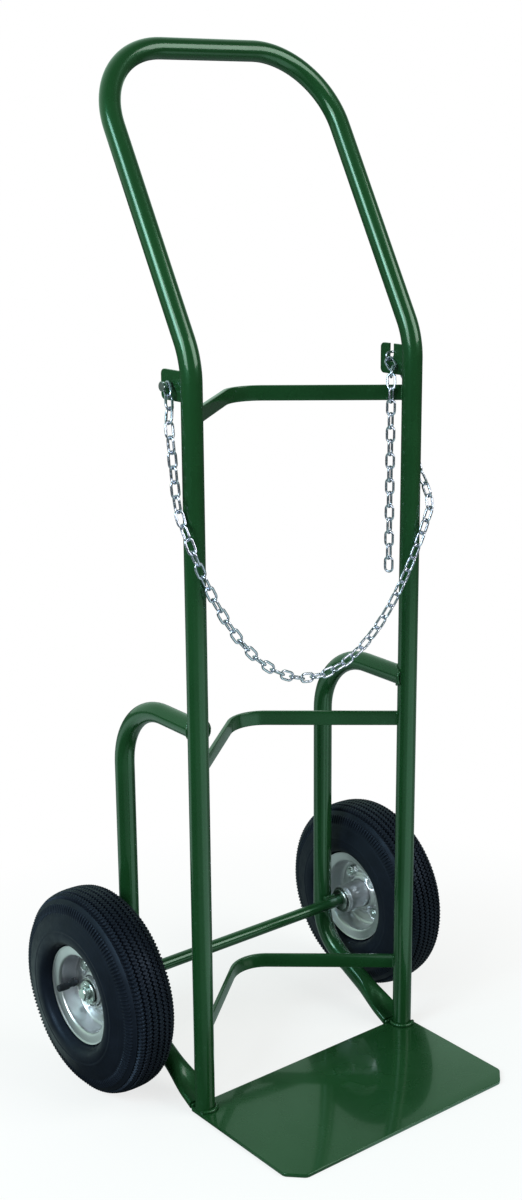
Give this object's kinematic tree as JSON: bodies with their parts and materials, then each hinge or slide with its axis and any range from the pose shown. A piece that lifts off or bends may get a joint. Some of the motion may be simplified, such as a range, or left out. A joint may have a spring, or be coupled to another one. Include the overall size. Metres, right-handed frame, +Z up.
{
  "type": "cylinder hand truck",
  "caption": "Green bent-tube cylinder hand truck with toe plate, V cradle bars, retaining chain and pneumatic wheels.",
  "frame": {"origin": "on the floor under the uprights, midway between them", "axes": "+Z up, -Y the way the toe plate points, +X the truck's right-hand upright seen from in front of the toe plate; X = 0 is the symmetry plane"},
  "size_m": [0.5404, 0.4642, 1.2838],
  "materials": {
    "green_paint": "gloss",
    "zinc_plated_steel": "satin",
    "bearing_steel": "satin",
    "tyre_rubber": "matte",
    "butyl_rubber": "matte"
  },
  "bodies": {
    "frame": {"main_frame_tube": "green_paint", "toe_plate": "green_paint", "top_cradle_bar": "green_paint", "middle_cradle_bar": "green_paint", "lower_cradle_bar": "green_paint", "axle": "green_paint", "chain_bolt": "zinc_plated_steel", "chain_nut": "zinc_plated_steel", "chain_slot_link": "zinc_plated_steel", "left_brace_tube": "green_paint", "left_foot_weld": "green_paint", "left_chain_plate": "green_paint", "left_inboard_bearing_inner_ring": "bearing_steel", "left_outboard_bearing_inner_ring": "bearing_steel", "left_inboard_washer": "zinc_plated_steel", "left_outboard_washer": "zinc_plated_steel", "left_cotter_pin": "zinc_plated_steel", "right_brace_tube": "green_paint", "right_foot_weld": "green_paint", "right_chain_plate": "green_paint", "right_inboard_bearing_inner_ring": "bearing_steel", "right_outboard_bearing_inner_ring": "bearing_steel", "right_inboard_washer": "zinc_plated_steel", "right_outboard_washer": "zinc_plated_steel", "right_cotter_pin": "zinc_plated_steel"},
    "left_wheel": {"left_tyre": "tyre_rubber", "left_inner_tube": "butyl_rubber", "left_rim_outer_half": "zinc_plated_steel", "left_rim_inner_half": "zinc_plated_steel", "left_rim_bolt_1": "zinc_plated_steel", "left_rim_bolt_2": "zinc_plated_steel", "left_rim_bolt_3": "zinc_plated_steel", "left_rim_bolt_4": "zinc_plated_steel", "left_hub_tube": "zinc_plated_steel", "left_valve_stem": "butyl_rubber", "left_valve_cap": "butyl_rubber", "left_inboard_bearing_outer_ring": "bearing_steel", "left_outboard_bearing_outer_ring": "bearing_steel"},
    "right_wheel": {"right_tyre": "tyre_rubber", "right_inner_tube": "butyl_rubber", "right_rim_outer_half": "zinc_plated_steel", "right_rim_inner_half": "zinc_plated_steel", "right_rim_bolt_1": "zinc_plated_steel", "right_rim_bolt_2": "zinc_plated_steel", "right_rim_bolt_3": "zinc_plated_steel", "right_rim_bolt_4": "zinc_plated_steel", "right_hub_tube": "zinc_plated_steel", "right_valve_stem": "butyl_rubber", "right_valve_cap": "butyl_rubber", "right_inboard_bearing_outer_ring": "bearing_steel", "right_outboard_bearing_outer_ring": "bearing_steel"},
    "left_lead": {"chain_left_lead": "zinc_plated_steel"},
    "swag": {"chain_swag": "zinc_plated_steel"},
    "right_lead": {"chain_right_lead": "zinc_plated_steel"},
    "tail_upper": {"chain_tail_upper": "zinc_plated_steel"},
    "tail_middle": {"chain_tail_middle": "zinc_plated_steel"},
    "tail_lower": {"chain_tail_lower": "zinc_plated_steel"}
  },
  "joints": [
    {"name": "left_wheel_spin", "type": "hinge", "parent": "frame", "child": "left_wheel", "pos_m": [-0.2278, 0.1412, 0.132], "axis": [1, 0, 0], "continuous": true},
    {"name": "right_wheel_spin", "type": "hinge", "parent": "frame", "child": "right_wheel", "pos_m": [0.2278, 0.1412, 0.132], "axis": [1, 0, 0], "continuous": true},
    {"name": "chain_lift", "type": "hinge", "parent": "frame", "child": "left_lead", "pos_m": [-0.1755, 0.0365, 0.904], "axis": [-1, 0, 0], "range_deg": [0, 40]},
    {"name": "swag_swing", "type": "hinge", "parent": "left_lead", "child": "swag", "pos_m": [-0.1845, -0.01976, 0.72146], "axis": [-1, 0, 0], "range_deg": [0, 30]},
    {"name": "right_lead_fold", "type": "hinge", "parent": "swag", "child": "right_lead", "pos_m": [0.1845, -0.01976, 0.72146], "axis": [-1, 0, 0], "range_deg": [-30, 0]},
    {"name": "tail_lift", "type": "hinge", "parent": "frame", "child": "tail_upper", "pos_m": [0.1628, 0.0365, 0.904], "axis": [-1, 0, 0], "range_deg": [0, 3]},
    {"name": "tail_middle_swing", "type": "hinge", "parent": "tail_upper", "child": "tail_middle", "pos_m": [0.144, 0.01151, 0.85605], "axis": [1, 0, 0], "range_deg": [0, 45]},
    {"name": "tail_lower_swing", "type": "hinge", "parent": "tail_middle", "child": "tail_lower", "pos_m": [0.144, 0.01187, 0.75732], "axis": [1, 0, 0], "range_deg": [-8, 45]}
  ],
  "couplings": [
    {"joint": "right_lead_fold", "follows": "swag_swing", "ratio": -1}
  ]
}
